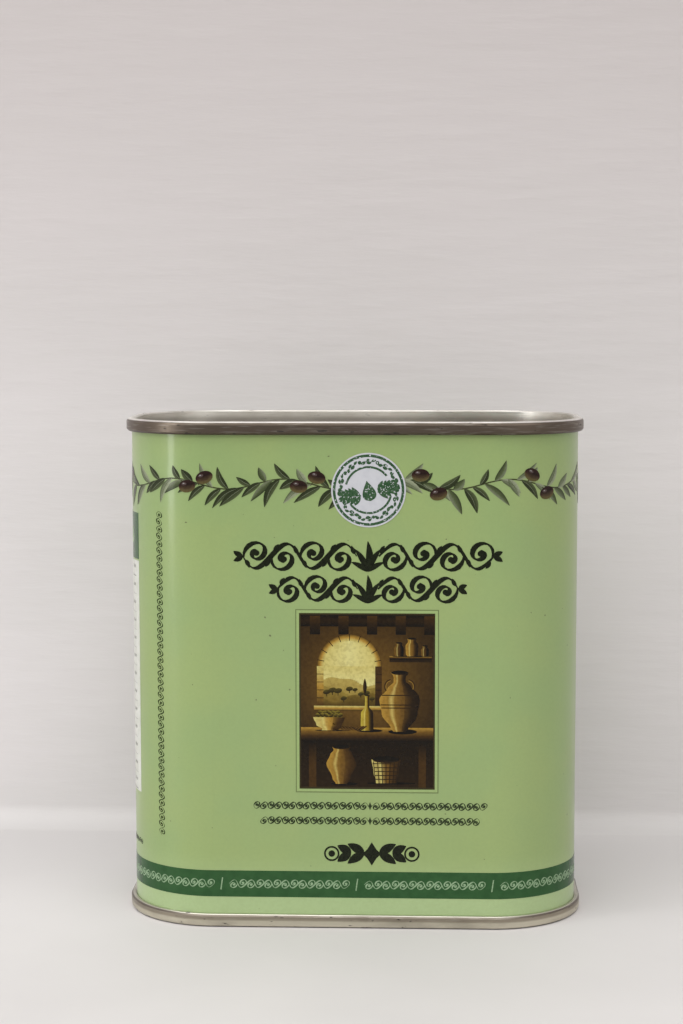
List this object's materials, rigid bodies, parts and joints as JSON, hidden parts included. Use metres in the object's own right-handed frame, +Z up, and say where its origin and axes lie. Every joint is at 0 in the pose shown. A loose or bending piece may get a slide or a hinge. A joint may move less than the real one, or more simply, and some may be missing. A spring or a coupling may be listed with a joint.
{
  "type": "oil tin",
  "caption": "Rectangular tinplate oil tin with rounded corners, double-seamed ends and a recessed pull-up pouring spout with a screw cap and two pull rings.",
  "frame": {"origin": "middle of the bottom, on the plane that the lower seam stands on", "axes": "+Z up, +X along the width towards the spout, the printed front faces -Y"},
  "size_m": [0.106, 0.055, 0.1153],
  "materials": {
    "body_lacquer": "pale green gloss lacquer with printed ornament on thin tinplate",
    "bare_tinplate": "aged bare tinplate, speckled",
    "gasket_rubber": "matt rubber",
    "spout_plastic": "natural white polyethylene",
    "liner_foam": "white sealing foam",
    "cap_plastic": "dark green moulded plastic"
  },
  "bodies": {
    "tin": {"body_shell": "body_lacquer", "top_end": "bare_tinplate", "bottom_end": "bare_tinplate", "spout_collar": "spout_plastic", "collar_gasket": "gasket_rubber"},
    "spout": {"pour_spout": "spout_plastic", "tamper_band": "cap_plastic"},
    "liner": {"cap_liner": "liner_foam"},
    "cap": {"screw_cap": "cap_plastic"},
    "left_bail": {"bail_left": "cap_plastic"},
    "right_bail": {"bail_right": "cap_plastic"}
  },
  "joints": [
    {"name": "spout_slide", "type": "slide", "parent": "tin", "child": "spout", "axis": [0, 0, 1], "range_m": [0, 0.0234]},
    {"name": "cap_lift", "type": "slide", "parent": "spout", "child": "liner", "axis": [0, 0, 1], "range_m": [0, 0.024]},
    {"name": "cap_turn", "type": "hinge", "parent": "liner", "child": "cap", "pos_m": [0.026, 0, 0.1105], "axis": [0, 0, 1], "range_deg": [0, 1440]},
    {"name": "left_bail_hinge", "type": "hinge", "parent": "cap", "child": "left_bail", "pos_m": [0.0251, 0, 0.11205], "axis": [0, 1, 0], "range_deg": [0, 90]},
    {"name": "right_bail_hinge", "type": "hinge", "parent": "cap", "child": "right_bail", "pos_m": [0.0269, 0, 0.11205], "axis": [0, -1, 0], "range_deg": [0, 90]}
  ],
  "couplings": [
    {"joint": "cap_lift", "follows": "cap_turn", "m_per_rad": 0.0009549}
  ]
}
